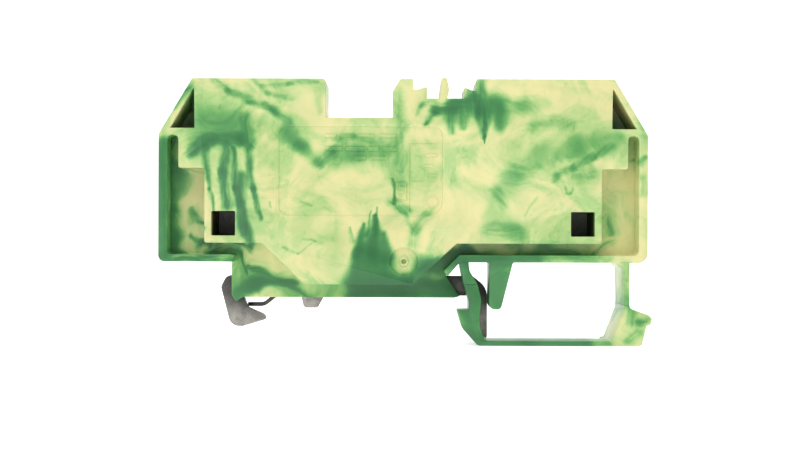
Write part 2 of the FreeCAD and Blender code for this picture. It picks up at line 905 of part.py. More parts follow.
all_parts = make_parts()
doc.recompute()
check_document()
export(all_parts)
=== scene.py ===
import math

import bmesh
import bpy
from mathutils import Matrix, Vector


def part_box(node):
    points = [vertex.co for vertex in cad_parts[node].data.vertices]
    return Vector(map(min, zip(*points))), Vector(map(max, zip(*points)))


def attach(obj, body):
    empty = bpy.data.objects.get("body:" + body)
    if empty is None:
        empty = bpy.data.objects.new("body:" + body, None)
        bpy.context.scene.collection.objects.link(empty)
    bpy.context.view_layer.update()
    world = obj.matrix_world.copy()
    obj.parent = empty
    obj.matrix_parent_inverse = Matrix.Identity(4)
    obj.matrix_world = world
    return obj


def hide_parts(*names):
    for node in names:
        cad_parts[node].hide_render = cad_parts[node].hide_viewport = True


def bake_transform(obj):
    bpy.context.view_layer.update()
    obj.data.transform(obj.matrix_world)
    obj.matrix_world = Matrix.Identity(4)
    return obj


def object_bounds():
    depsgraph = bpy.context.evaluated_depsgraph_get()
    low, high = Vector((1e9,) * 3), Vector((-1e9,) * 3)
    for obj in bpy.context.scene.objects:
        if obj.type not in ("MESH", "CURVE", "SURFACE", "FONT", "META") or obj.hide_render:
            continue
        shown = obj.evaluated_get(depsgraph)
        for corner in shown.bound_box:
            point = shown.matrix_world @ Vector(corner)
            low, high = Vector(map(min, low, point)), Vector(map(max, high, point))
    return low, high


# Looks of a green and yellow ground terminal block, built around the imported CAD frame.
# The frame's axes: X across the rail, -Y the closed front face, Z up, origin on the rail seat.
# Lengths are in metres; MM turns a plain number of millimetres into metres.

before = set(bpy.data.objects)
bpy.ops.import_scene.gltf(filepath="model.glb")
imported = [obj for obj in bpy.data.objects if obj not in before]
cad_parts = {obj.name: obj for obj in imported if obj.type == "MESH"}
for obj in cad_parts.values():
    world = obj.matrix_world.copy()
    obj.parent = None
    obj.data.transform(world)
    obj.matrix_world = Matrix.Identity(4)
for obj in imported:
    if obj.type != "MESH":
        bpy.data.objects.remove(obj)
cad_low, cad_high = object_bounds()
MM = 0.001

# The housing's middle plane and closed face, and the depths of what is sunk in it, in millimetres.
MIDDLE = (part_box("housing")[0].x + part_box("housing")[1].x) / 2 / MM
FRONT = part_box("housing")[0].y / MM
PANEL_DEPTH = 0.2
DIMPLE_DEPTH = 0.5
RECESS_DEPTH = 4.7

# Mesh clean-up: points closer than this are one, and faces flatter than this are one.
MERGE_DISTANCE = 1e-6
FLAT_ANGLE = math.radians(0.4)

# The latch foot's bending legs reach this far into their neighbours, so that no seam shows.
SEAM_OVERLAP = 0.25 * MM


# ---------------------------------------------------------------- shader helpers

def rgb(code):
    """A hex colour as linear RGBA."""
    parts = [int(code[i:i + 2], 16) / 255 for i in (0, 2, 4)]
    linear = [c / 12.92 if c <= 0.04045 else ((c + 0.055) / 1.055) ** 2.4 for c in parts]
    return (*linear, 1.0)


class Tree:
    """Adds nodes to a shader or group tree and links them in short calls.

    Every node is added after the nodes that feed it, and no node's own clamp is used: a long
    tree built otherwise needs more of the renderer's working memory than it has, and is black.
    """

    def __init__(self, tree):
        self.nodes = tree.nodes
        self.links = tree.links

    def add(self, kind, **settings):
        node = self.nodes.new(kind)
        for name, value in settings.items():
            setattr(node, name, value)
        return node

    def feed(self, socket, value):
        """Links a socket to another, or sets it to a plain value."""
        if isinstance(value, bpy.types.NodeSocket):
            self.links.new(value, socket)
        else:
            socket.default_value = value

    def math(self, operation, *values):
        node = self.add("ShaderNodeMath", operation=operation)
        for socket, value in zip(node.inputs, values):
            self.feed(socket, value)
        return node.outputs[0]

    def vector(self, operation, *values, output=0):
        node = self.add("ShaderNodeVectorMath", operation=operation)
        for socket, value in zip(node.inputs, values):
            self.feed(socket, value)
        return node.outputs[output]

    def scaled(self, vector, scale):
        node = self.add("ShaderNodeVectorMath", operation="SCALE")
        self.feed(node.inputs[0], vector)
        self.feed(node.inputs["Scale"], scale)
        return node.outputs[0]

    def limit(self, value, low, high):
        return self.math("MINIMUM", self.math("MAXIMUM", value, low), high)

    def remap(self, value, from_low, from_high, to_low, to_high, smooth=False):
        node = self.add("ShaderNodeMapRange", clamp=False)
        for socket, item in zip(node.inputs, (value, from_low, from_high, to_low, to_high)):
            self.feed(socket, item)
        if smooth:
            node.interpolation_type = "SMOOTHSTEP"
            return node.outputs[0]
        return self.limit(node.outputs[0], min(to_low, to_high), max(to_low, to_high))

    def combine(self, *parts):
        node = self.add("ShaderNodeCombineXYZ")
        for socket, part in zip(node.inputs, parts):
            self.feed(socket, part)
        return node.outputs[0]

    def noise(self, vector, scale, detail=2.0, roughness=0.5, distortion=0.0):
        node = self.add("ShaderNodeTexNoise")
        self.feed(node.inputs["Vector"], vector)
        self.feed(node.inputs["Scale"], scale)
        self.feed(node.inputs["Detail"], detail)
        self.feed(node.inputs["Roughness"], roughness)
        self.feed(node.inputs["Distortion"], distortion)
        return node

    def ramp(self, factor, stops):
        node = self.add("ShaderNodeValToRGB")
        node.color_ramp.interpolation = "LINEAR"
        elements = node.color_ramp.elements
        elements[0].color = stops[0][1]
        elements[1].color = stops[-1][1]
        for place, colour in stops[1:-1]:
            elements.new(place).color = colour
        self.feed(node.inputs[0], factor)
        return node.outputs[0]

    def mix(self, factor, first, second, blend="MIX"):
        node = self.add("ShaderNodeMix", data_type="RGBA", blend_type=blend)
        self.feed(node.inputs[0], factor)
        self.feed(node.inputs[6], first)
        self.feed(node.inputs[7], second)
        return node.outputs[2]

    def bump(self, height, strength, distance):
        node = self.add("ShaderNodeBump")
        self.feed(node.inputs["Height"], height)
        node.inputs["Strength"].default_value = strength
        node.inputs["Distance"].default_value = distance
        return node.outputs[0]


def new_material(name):
    material = bpy.data.materials.new(name)
    material.use_nodes = True
    tree = Tree(material.node_tree)
    return material, tree, material.node_tree.nodes["Principled BSDF"]


def place_in_mm(tree):
    """The point's place in the frame, in millimetres."""
    coords = tree.add("ShaderNodeTexCoord").outputs["Object"]
    return tree.scaled(coords, 1 / MM)


# ---------------------------------------------------------------- marbled polyamide

# Streaks of green in the yellow, in millimetres on the X-Z plane; the two marked below also hold
# painted shade:
# (depth of colour, half-width at the start, half-width at the end, the streak's points)
MUSHROOM = [
    (0.60, 3.2, 3.0, [(-24.2, 27.6), (-18.6, 27.6)]),
    (0.72, 1.0, 0.9, [(-25.9, 23.4), (-22.8, 25.3), (-18.6, 25.7), (-17.1, 24.6)]),
    (0.60, 1.3, 1.1, [(-25.2, 23.3), (-24.2, 25.0)]),
    (0.52, 0.9, 0.8, [(-17.6, 28.8), (-17.1, 25.4)]),
    (0.62, 0.5, 0.25, [(-24.0, 24.0), (-23.6, 17.2), (-22.6, 14.2)]),
    (0.80, 0.8, 0.9, [(-20.8, 24.6), (-21.1, 20.0), (-20.6, 15.0)]),
    (0.78, 0.4, 0.8, [(-19.7, 24.2), (-19.0, 17.4), (-17.8, 12.2), (-16.7, 9.0)]),
    (0.74, 0.7, 0.4, [(-17.3, 24.0), (-16.6, 17.6), (-15.2, 13.0)]),
    (0.70, 0.9, 0.7, [(-18.2, 19.4), (-18.6, 15.4), (-17.6, 10.8)]),
    (0.30, 4.0, 3.0, [(-20.5, 24.5), (-18.5, 12.0)]),
]
TOP_LEFT = [
    (0.46, 0.6, 0.8, [(-23.2, 34.9), (-20.8, 33.0), (-17.0, 31.6), (-13.4, 30.2), (-10.9, 28.0)]),
    (0.26, 0.4, 0.6, [(-17.4, 31.2), (-14.6, 31.0), (-12.6, 29.8)]),
    (0.30, 0.5, 0.5, [(-16.8, 34.9), (-14.0, 32.8), (-10.4, 31.9)]),
    (0.30, 0.4, 0.4, [(-15.0, 33.9), (-6.2, 34.3)]),
    (0.38, 0.3, 0.2, [(-10.5, 34.0), (-9.9, 34.0)]),
    (0.28, 0.8, 0.5, [(-6.4, 32.5), (-5.9, 29.5)]),
]
CENTRE = [
    (0.22, 1.5, 1.0, [(-11.4, 26.4), (-9.4, 24.6)]),
    (0.50, 1.5, 0.8, [(-10.9, 26.2), (-8.2, 24.0), (-5.9, 21.3)]),
    (0.40, 0.9, 1.0, [(-5.9, 21.3), (-3.9, 23.2), (-2.4, 24.6)]),
    (0.36, 1.5, 1.7, [(-4.8, 22.4), (0.2, 23.2), (5.6, 24.8)]),
    (0.30, 1.5, 1.6, [(-2.6, 21.6), (5.0, 22.6)]),
    (0.28, 0.6, 0.5, [(-3.4, 25.3), (-0.6, 25.6), (2.6, 24.9)]),
    (0.30, 0.4, 0.3, [(-9.4, 15.6), (-7.4, 14.6)]),
    (0.35, 0.25, 0.2, [(-13.5, 15.4), (-13.4, 14.6)]),
    (0.30, 0.25, 0.2, [(-11.5, 8.4), (-9.3, 7.3), (-7.4, 8.7)]),
    (0.28, 0.25, 0.2, [(-8.5, 9.6), (-6.6, 9.1)]),
    (0.26, 2.4, 2.4, [(-3.8, 9.8), (-3.6, 5.4)]),
    (0.30, 0.8, 1.2, [(6.7, 33.4), (6.9, 19.0)]),
]
FLAME = [
    (0.88, 3.4, 0.5, [(2.4, 2.6), (2.5, 7.4), (3.0, 13.0)]),
    (0.80, 1.6, 0.4, [(-0.2, 2.8), (0.1, 7.4), (1.0, 11.8)]),
    (0.70, 1.8, 0.6, [(4.6, 2.8), (5.0, 6.6), (4.2, 10.0)]),
    (0.60, 0.5, 0.2, [(3.0, 10.0), (3.4, 14.6)]),
    (0.55, 0.5, 0.2, [(-0.8, 9.4), (-1.0, 11.4)]),
    (0.55, 0.4, 0.2, [(1.4, 10.0), (2.3, 14.0)]),
    (0.62, 1.0, 0.8, [(6.0, 15.6), (7.9, 14.0)]),
    (0.62, 0.25, 0.3, [(6.0, 19.2), (6.1, 15.4)]),
    (0.46, 0.9, 1.2, [(11.4, 13.6), (9.6, 11.2), (8.9, 8.8)]),
    (0.28, 0.5, 0.5, [(8.0, 12.8), (9.0, 10.4)]),
    (0.72, 1.4, 1.0, [(5.2, 3.4), (8.6, 2.9), (11.6, 5.2)]),
    (0.50, 0.8, 0.5, [(11.4, 5.2), (13.2, 6.8)]),
]
FEATHERS = [
    (0.50, 2.0, 2.6, [(15.4, 29.4), (21.6, 30.0)]),
    (0.72, 0.6, 1.3, [(11.3, 27.8), (12.6, 29.9), (15.3, 31.0), (18.5, 31.8)]),
    (0.60, 1.1, 0.6, [(15.0, 30.2), (15.3, 26.5)]),
    (0.62, 1.1, 0.5, [(16.9, 30.5), (16.9, 27.0)]),
    (0.70, 0.9, 1.2, [(18.3, 33.7), (19.1, 30.2)]),
    (0.66, 0.9, 1.3, [(19.9, 34.6), (20.1, 29.9)]),
    (0.82, 1.3, 0.5, [(19.9, 29.7), (20.1, 25.6)]),
    (0.60, 1.4, 0.9, [(22.3, 31.5), (22.6, 27.3)]),
    (0.70, 0.3, 0.15, [(20.3, 25.6), (20.5, 24.6)]),
    (0.30, 1.6, 1.0, [(23.4, 31.0), (26.0, 30.7), (30.3, 31.0)]),
    (0.38, 0.5, 0.6, [(9.7, 29.4), (10.2, 30.7), (12.4, 31.3)]),
]
RIGHT = [
    (0.42, 0.6, 0.7, [(31.4, 19.2), (31.9, 20.0), (34.6, 21.1), (37.8, 22.7), (40.5, 24.3)]),
    (0.35, 2.0, 2.0, [(22.8, 16.0), (25.0, 19.2), (29.3, 23.0), (35.7, 24.6), (41.9, 25.6)]),
    (0.40, 1.0, 0.8, [(22.3, 17.1), (23.4, 14.9)]),
    (0.40, 1.2, 1.2, [(20.7, 11.4), (25.5, 10.6)]),
    (0.32, 0.3, 0.3, [(33.1, 17.9), (33.4, 16.9), (34.2, 17.0), (34.4, 17.7)]),
    (0.30, 1.5, 1.4, [(21.6, 13.4), (24.6, 11.8), (25.8, 10.2)]),
    (0.30, 0.25, 0.2, [(28.6, 16.4), (26.8, 13.2)]),
    (0.30, 1.4, 1.2, [(28.4, 27.6), (34.4, 27.9)]),
    (0.30, 1.2, 1.0, [(35.4, 19.6), (39.0, 20.2)]),
    (0.25, 1.2, 1.5, [(14.8, 19.2), (21.2, 16.0)]),
]
ENDS = [
    (0.86, 1.5, 1.6, [(-30.7, 24.4), (-30.7, 7.2)]),
    (0.80, 1.2, 1.2, [(-30.9, 6.4), (-20.0, 6.4)]),
    (0.78, 1.0, 0.6, [(-27.2, 33.4), (-28.9, 30.4)]),
    (0.50, 0.8, 0.8, [(-28.4, 31.8), (-30.9, 27.0)]),
    (0.66, 0.8, 0.6, [(-27.2, 12.4), (-24.6, 11.4)]),
    (0.80, 0.7, 0.8, [(-25.9, 8.7), (-20.8, 8.0), (-16.8, 8.2)]),
    (0.66, 0.5, 0.5, [(-27.6, 10.4), (-24.4, 8.0)]),
    (0.50, 0.8, 0.6, [(39.8, 12.6), (40.4, 11.4)]),
    (0.52, 1.2, 1.0, [(41.6, 9.2), (38.6, 7.8)]),
    # Partly painted shade: this streak is green in the right bottom channel, and it also darkens the
    # channel under the plateau's lower edge, where shade falls.
    (0.46, 1.1, 1.0, [(26.6, 7.8), (38.4, 7.8)]),
    (0.60, 0.5, 0.5, [(45.9, 22.2), (45.3, 21.6)]),
    (0.40, 0.6, 0.6, [(45.4, 19.6), (45.4, 17.2)]),
    (0.28, 0.8, 0.8, [(45.8, 30.0), (45.6, 26.0)]),
]
LOWER = [
    (0.45, 2.6, 2.4, [(-19.4, 3.2), (-12.4, 2.4)]),
    # Painted shade: this streak darkens the lower body below the middle with green, where shade falls.
    (0.34, 1.9, 1.9, [(-11.4, 0.4), (0.5, 0.4)]),
    (0.55, 2.2, 2.2, [(0.5, 0.6), (15.6, 0.8)]),
    (0.86, 1.4, 1.0, [(-19.6, 1.0), (-15.0, 1.6), (-11.4, 2.4)]),
    (0.74, 0.5, 0.4, [(-18.9, 5.8), (-16.4, 3.4)]),
    (0.74, 0.6, 0.6, [(-16.3, 4.6), (-11.0, 2.6)]),
    (0.55, 0.6, 0.6, [(-11.8, 1.4), (-7.4, 1.0)]),
    (0.90, 2.6, 2.2, [(-0.4, 0.9), (8.0, 1.0), (14.6, 2.2)]),
    (0.80, 1.4, 1.2, [(10.6, 5.4), (16.4, 6.2), (28.6, 6.5)]),
    (0.42, 1.2, 1.2, [(30.0, 6.4), (40.0, 6.4)]),
    (0.78, 3.2, 2.6, [(22.0, 6.0), (22.4, -1.0)]),
]
LATCH = [
    (0.84, 2.6, 2.4, [(17.6, 5.6), (17.8, 0.0), (18.2, -5.2)]),
    (0.86, 1.8, 1.3, [(18.6, -6.6), (27.0, -7.0), (36.6, -7.0)]),
    (0.62, 1.0, 0.8, [(36.6, -7.0), (40.4, -7.0)]),
    (0.40, 1.0, 0.8, [(43.1, 5.4), (43.2, 0.6)]),
    (0.52, 0.9, 0.9, [(43.4, -0.6), (44.2, -3.4)]),
    (0.60, 0.5, 0.6, [(46.6, -3.0), (45.4, -3.4)]),
    (0.44, 0.8, 0.8, [(44.8, -5.2), (43.2, -6.4)]),
]
# Streaks that start broader than this are soft, with even threads of this strength.
SOFT_WIDTH = 1.35
SOFT_THREADS = 0.95
STREAKS = MUSHROOM + TOP_LEFT + CENTRE + FLAME + FEATHERS + RIGHT + ENDS + LOWER + LATCH


def streak_group():
    """One straight streak: multiplies Keep by what it leaves of the yellow at Place."""
    group = bpy.data.node_groups.new("streak", "ShaderNodeTree")
    floats = ["Keep", "Width", "Widening", "Depth", "Threads"]
    vectors = ["Place", "Start", "Span", "Slope"]
    for name in floats:
        group.interface.new_socket(name, in_out="INPUT", socket_type="NodeSocketFloat")
    for name in vectors:
        group.interface.new_socket(name, in_out="INPUT", socket_type="NodeSocketVector")
    group.interface.new_socket("Keep", in_out="OUTPUT", socket_type="NodeSocketFloat")
    tree = Tree(group)
    given = tree.add("NodeGroupInput").outputs
    out = tree.add("NodeGroupOutput")
    reach = tree.vector("SUBTRACT", given["Place"], given["Start"])
    share = tree.limit(tree.vector("DOT_PRODUCT", reach, given["Slope"], output=1), 0.0, 1.0)
    distance = tree.vector("DISTANCE", reach, tree.scaled(given["Span"], share), output=1)
    width = tree.math("MULTIPLY_ADD", share, given["Widening"], given["Width"])
    widths_off = tree.math("DIVIDE", distance, width)
    fade = tree.remap(widths_off, 1.7, 0.1, 0.0, 1.0, smooth=True)
    strength = tree.math("MULTIPLY", given["Depth"], given["Threads"])
    left = tree.math("SUBTRACT", 1.0, tree.math("MULTIPLY", fade, strength))
    tree.feed(out.inputs[0], tree.math("MULTIPLY", given["Keep"], left))
    return group


def thread_fields(tree, place):
    """Fine threads drawn out along four directions on the X-Z plane, as (direction, strength)."""
    coarse, fine = 0.22, 1.5
    fields = []
    for turn in range(4):
        angle = math.pi / 4 * turn
        along = (coarse * math.cos(angle), 0.0, coarse * math.sin(angle))
        across = (-fine * math.sin(angle), 0.0, fine * math.cos(angle))
        lines = tree.combine(tree.vector("DOT_PRODUCT", place, along, output=1),
                             tree.vector("DOT_PRODUCT", place, across, output=1), 9.0 * turn)
        fibres = tree.noise(lines, 1.0, detail=2.0, roughness=0.55).outputs["Fac"]
        direction = Vector((math.cos(angle), math.sin(angle)))
        fields.append((direction, tree.remap(fibres, 0.3, 0.62, 0.55, 1.1)))
    return fields


def drifted_place(tree, place):
    """The point's place on the X-Z plane, stirred by noise, and stirred more towards the back."""
    coarse = tree.noise(place, 0.16, detail=1.0).outputs["Color"]
    fine = tree.noise(place, 0.75, detail=2.0, roughness=0.6).outputs["Color"]
    depth = tree.vector("DOT_PRODUCT", place, (0.0, 1.0, 0.0), output=1)
    depth_stir = tree.remap(depth, -4.0, 5.0, 1.8, 16.0)
    centred_coarse = tree.vector("SUBTRACT", coarse, (0.5, 0.5, 0.5))
    centred_fine = tree.vector("SUBTRACT", fine, (0.5, 0.5, 0.5))
    moved = tree.vector("ADD", place, tree.scaled(centred_coarse, depth_stir))
    moved = tree.vector("ADD", moved, tree.scaled(centred_fine, 0.5))
    return tree.vector("MULTIPLY", moved, (1.0, 0.0, 1.0))


def marbling_group():
    """The colour of the marbled polyamide at any point of the block."""
    streak = streak_group()
    group = bpy.data.node_groups.new("marbling", "ShaderNodeTree")
    group.interface.new_socket("Place", in_out="INPUT", socket_type="NodeSocketVector")
    group.interface.new_socket("Color", in_out="OUTPUT", socket_type="NodeSocketColor")
    tree = Tree(group)
    place = tree.add("NodeGroupInput").outputs["Place"]
    out = tree.add("NodeGroupOutput")
    stirred = drifted_place(tree, place)
    fields = thread_fields(tree, stirred)
    keep = 1.0
    for depth, width, end_width, points in STREAKS:
        steps = len(points) - 1
        widening = (end_width - width) / steps
        for step in range(steps):
            start, span = Vector(points[step]), Vector(points[step + 1]) - Vector(points[step])
            slope = span / span.length_squared
            threads = max(fields, key=lambda field: abs(field[0].dot(slope)))[1]
            if width > SOFT_WIDTH:
                threads = SOFT_THREADS
            places = [(flat.x, 0.0, flat.y) for flat in (start, span, slope)]
            values = (keep, width + widening * step, widening, depth, threads, stirred, *places)
            node = tree.add("ShaderNodeGroup", node_tree=streak)
            for socket, value in zip(node.inputs, values):
                tree.feed(socket, value)
            keep = node.outputs["Keep"]
    clouds = tree.noise(stirred, 0.13, detail=3.0, roughness=0.55, distortion=1.2).outputs["Fac"]
    haze = tree.remap(clouds, 0.34, 0.68, 0.04, 0.42, smooth=True)
    wisps = tree.noise(stirred, 0.5, detail=3.0, roughness=0.6, distortion=2.0).outputs["Fac"]
    haze = tree.math("ADD", haze, tree.remap(wisps, 0.5, 0.75, 0.0, 0.12))
    keep = tree.math("MULTIPLY", keep, tree.math("SUBTRACT", 1.0, haze))
    green = tree.math("SUBTRACT", 1.0, keep)
    colour = tree.ramp(green, [
        (0.00, rgb("E6DDA0")),
        (0.22, rgb("D2D797")),
        (0.42, rgb("AECD84")),
        (0.62, rgb("70AE62")),
        (0.80, rgb("44884E")),
        (1.00, rgb("2E6C3E")),
    ])
    tint = tree.noise(stirred, 0.22, detail=2.0).outputs["Fac"]
    cool = tree.remap(tint, 0.45, 0.7, 0.0, 0.3)
    cooled = tree.mix(1.0, colour, rgb("D2E4D8"), blend="MULTIPLY")
    tree.feed(out.inputs[0], tree.mix(cool, colour, cooled))
    return group


def within(tree, value, low, high):
    """1 where the value lies between the two limits, otherwise 0."""
    above = tree.math("GREATER_THAN", value, low)
    return tree.math("MULTIPLY", above, tree.math("LESS_THAN", value, high))


# The deep windows and corner pockets, in millimetres: distances from the middle plane, levels and
# the back end of each. The corner pockets' third wall lies where the weighted sum of distance and
# level reaches SLANT_REACH.
WINDOW_SIDE = (26.6, 30.6)
WINDOW_LEVEL = (9.9, 14.0)
WINDOW_BACK = 4.4
CORNER_SIDE = (33.1, 37.2)
CORNER_LEVEL = (27.05, 33.7)
CORNER_BACK = 3.7
SLANT_SIDE, SLANT_LEVEL = 0.859, 0.5116
SLANT_REACH = 46.2


def pocket_shade(tree, place):
    """Painted shade: what is left of the colour inside the deep windows and the corner pockets, which
    hold little light.
    """
    parts = tree.add("ShaderNodeSeparateXYZ")
    tree.feed(parts.inputs[0], place)
    x, y, z = parts.outputs
    side = tree.math("ABSOLUTE", tree.math("SUBTRACT", x, MIDDLE))
    window = tree.math("MULTIPLY", within(tree, side, *WINDOW_SIDE), within(tree, z, *WINDOW_LEVEL))
    window = tree.math("MULTIPLY", window, tree.math("LESS_THAN", y, WINDOW_BACK))
    window_shade = tree.remap(y, -5.0, -3.0, 0.0, 0.9)
    slant = tree.math("MULTIPLY_ADD", side, SLANT_SIDE, tree.math("MULTIPLY", z, SLANT_LEVEL))
    corner = tree.math("MULTIPLY", within(tree, side, *CORNER_SIDE), within(tree, z, *CORNER_LEVEL))
    corner = tree.math("MULTIPLY", corner, tree.math("LESS_THAN", slant, SLANT_REACH))
    corner = tree.math("MULTIPLY", corner, tree.math("LESS_THAN", y, CORNER_BACK))
    corner_shade = tree.remap(y, -4.9, -3.5, 0.0, 0.4)
    loss = tree.math("ADD", tree.math("MULTIPLY", window, window_shade),
                     tree.math("MULTIPLY", corner, corner_shade))
    return tree.math("SUBTRACT", 1.0, loss)


def moulded_plastic(name, marbling):
    """Marbled polyamide with the faint grain of a spark-eroded mould, and painted shade in its deep
    windows and corner pockets.
    """
    material, tree, shader = new_material(name)
    place = place_in_mm(tree)
    colour = tree.add("ShaderNodeGroup")
    colour.node_tree = marbling
    tree.feed(colour.inputs["Place"], place)
    # Painted shade: the colour is darkened inside the deep windows and corner pockets.
    light = pocket_shade(tree, place)
    grey = tree.combine(light, light, light)
    shaded = tree.mix(1.0, colour.outputs["Color"], grey, blend="MULTIPLY")
    tree.feed(shader.inputs["Base Color"], shaded)
    grain = tree.noise(place, 5.0, detail=3.0, roughness=0.6).outputs["Fac"]
    swell = tree.noise(place, 0.25, detail=2.0).outputs["Fac"]
    rough = tree.remap(grain, 0.3, 0.7, 0.26, 0.38)
    tree.feed(shader.inputs["Roughness"], rough)
    height = tree.math("ADD", tree.math("MULTIPLY", grain, 0.25), swell)
    tree.feed(shader.inputs["Normal"], tree.bump(height, 0.25, 0.00004))
    return material


# ---------------------------------------------------------------- metals

def stamped_metal(name, light, dark, roughness, grain_scale, speckle, painted_shade_up=False):
    """Plated sheet metal: a fine speckle, faint rolling lines and duller patches.

    With the last flag set, the colour also gets darker from below the rail seat up into the housing's
    slot: painted shade, where the housing shades the metal.
    """
    material, tree, shader = new_material(name)
    place = place_in_mm(tree)
    stretched = tree.vector("MULTIPLY", place, (0.35, 3.0, 3.0))
    lines = tree.noise(stretched, grain_scale, detail=3.0, roughness=0.6).outputs["Fac"]
    dots = tree.noise(place, grain_scale * 3.5, detail=2.0, roughness=0.7).outputs["Fac"]
    patches = tree.noise(place, 0.45, detail=3.0, roughness=0.6, distortion=0.6).outputs["Fac"]
    base = tree.mix(tree.remap(patches, 0.35, 0.7, 0.0, 1.0), rgb(light), rgb(dark))
    shade = tree.remap(dots, 0.3, 0.7, 1.0 - speckle, 1.0 + speckle * 0.4)
    # Painted shade: darker from below the rail seat up into the housing's slot.
    if painted_shade_up:
        height = tree.vector("DOT_PRODUCT", place, (0.0, 0.0, 1.0), output=1)
        shade = tree.math("MULTIPLY", shade, tree.remap(height, -3.2, 0.5, 1.0, 0.38))
    grey = tree.combine(shade, shade, shade)
    tree.feed(shader.inputs["Base Color"], tree.mix(1.0, base, grey, blend="MULTIPLY"))
    shader.inputs["Metallic"].default_value = 1.0
    low, high = roughness
    tree.feed(shader.inputs["Roughness"], tree.remap(lines, 0.3, 0.7, low, high))
    height = tree.math("ADD", tree.math("MULTIPLY", dots, 0.5), lines)
    tree.feed(shader.inputs["Normal"], tree.bump(height, 0.25, 0.00003))
    return material


# ---------------------------------------------------------------- meshes

def soften_edges(obj, width, angle=28):
    """Rounds the object's sharp edges by modifiers only, so that its own mesh stays as it is."""
    weld = obj.modifiers.new("weld", "WELD")
    weld.merge_threshold = MERGE_DISTANCE
    flat = obj.modifiers.new("flat", "DECIMATE")
    flat.decimate_type = "DISSOLVE"
    flat.angle_limit = FLAT_ANGLE
    bevel = obj.modifiers.new("bevel", "BEVEL")
    bevel.width = width
    bevel.segments = 2
    bevel.limit_method = "ANGLE"
    bevel.angle_limit = math.radians(angle)
    bevel.use_clamp_overlap = False
    bevel.harden_normals = True
    for polygon in obj.data.polygons:
        polygon.use_smooth = True


def give_material(obj, material):
    obj.data.materials.clear()
    obj.data.materials.append(material)


def cut_mesh(mesh, axis, places):
    """Adds edge loops to a mesh where planes across the given axis cut it."""
    normal = [0.0, 0.0, 0.0]
    normal[axis] = 1.0
    work = bmesh.new()
    work.from_mesh(mesh)
    bmesh.ops.remove_doubles(work, verts=work.verts, dist=MERGE_DISTANCE)
    bmesh.ops.dissolve_limit(work, angle_limit=FLAT_ANGLE, verts=work.verts, edges=work.edges)
    for place in places:
        point = [0.0, 0.0, 0.0]
        point[axis] = place
        geometry = work.verts[:] + work.edges[:] + work.faces[:]
        bmesh.ops.bisect_plane(work, geom=geometry, plane_co=point, plane_no=normal)
    work.to_mesh(mesh)
    work.free()


def bending_copy(node, name, axis, cuts):
    """A copy of a CAD node with enough edge loops to bend, which stands for the node."""
    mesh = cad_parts[node].data.copy()
    mesh.name = name
    low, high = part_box(node)
    places = [low[axis] + (high[axis] - low[axis]) * (i + 1) / (cuts + 1) for i in range(cuts)]
    cut_mesh(mesh, axis, places)
    obj = bpy.data.objects.new(name, mesh)
    bpy.context.scene.collection.objects.link(obj)
    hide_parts(node)
    return obj


# ---------------------------------------------------------------- the block

marbling = marbling_group()
plastic = moulded_plastic("marbled_polyamide", marbling)
PLATING = ("A8A4A0", "84807D", (0.36, 0.52), 1.6, 0.26)
plated = stamped_metal("plated_steel", *PLATING)
# The foot plate's steel: the plated look with painted shade, darker up into the housing's slot.
shaded_foot_metal = stamped_metal("foot_steel", *PLATING, painted_shade_up=True)
copper = stamped_metal("tinned_copper", "CFCCC6", "B4B0A8", (0.28, 0.42), 1.2, 0.10)
spring = stamped_metal("spring_steel", "64605D", "4C4947", (0.26, 0.40), 2.4, 0.12)

# Each CAD node's material and the width of its rounded edges in millimetres.
NODE_LOOKS = {
    "housing": (plastic, 0.08),
    "latch_foot": (plastic, 0.09),
    "current_bar": (copper, 0.08),
    "ground_leg": (plated, 0.08),
    "foot_plate": (shaded_foot_metal, 0.10),
    "foot_rivets": (plated, 0.05),
    "bar_rivet": (plated, 0.08),
    "rail_leaf": (spring, 0.06),
    "clamp_cage_left": (spring, 0.06),
    "clamp_cage_right": (spring, 0.06),
}


def dress_nodes():
    """Gives the CAD nodes that are shown their materials and rounded edges."""
    for node, (material, width) in NODE_LOOKS.items():
        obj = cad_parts[node]
        give_material(obj, material)
        soften_edges(obj, width * MM)


def lengthen_ends(obj, low, high):
    """Moves the flat ends of an upright strip outwards, so that no seam shows where it joins on."""
    near = 0.01 * MM
    for vertex in obj.data.vertices:
        if vertex.co.z > high - near:
            vertex.co.z += SEAM_OVERLAP
        elif vertex.co.z < low + near:
            vertex.co.z -= SEAM_OVERLAP


def make_flexures():
    """The latch foot's two sprung legs, which bend between the housing and the foot."""
    for side in ("left", "right"):
        node = f"latch_flexure_{side}"
        obj = bending_copy(node, f"latch_leg_{side}", 2, 14)
        give_material(obj, plastic)
        soften_edges(obj, 0.09 * MM)
        low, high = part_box(node)
        lengthen_ends(obj, low.z, high.z)
        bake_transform(obj)


def make_clamp_springs():
    """The clamps' fixed legs and loops, which wind up as the cages open."""
    for side, sign in (("left", -1), ("right", 1)):
        node = f"clamp_spring_{side}"
        obj = bending_copy(node, f"clamp_loop_{side}", 0, 8)
        give_material(obj, spring)
        soften_edges(obj, 0.06 * MM)
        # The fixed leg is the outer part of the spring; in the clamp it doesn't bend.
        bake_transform(obj)


# ---------------------------------------------------------------- raised marks on the closed face

# Plain strips in the place of moulded marks, in millimetres as (X from, X to, Z from, Z to):
# thin lines that divide the panel, and a small frame
LABEL_LINES = [
    (8.43, 8.57, 13.8, 24.7), (8.7, 13.2, 24.63, 24.77), (8.8, 10.8, 18.68, 18.82),
    (6.1, 8.1, 18.5, 18.64), (6.1, 8.1, 15.6, 15.74),
    (6.1, 6.24, 15.8, 18.44), (7.96, 8.1, 15.8, 18.44),
]
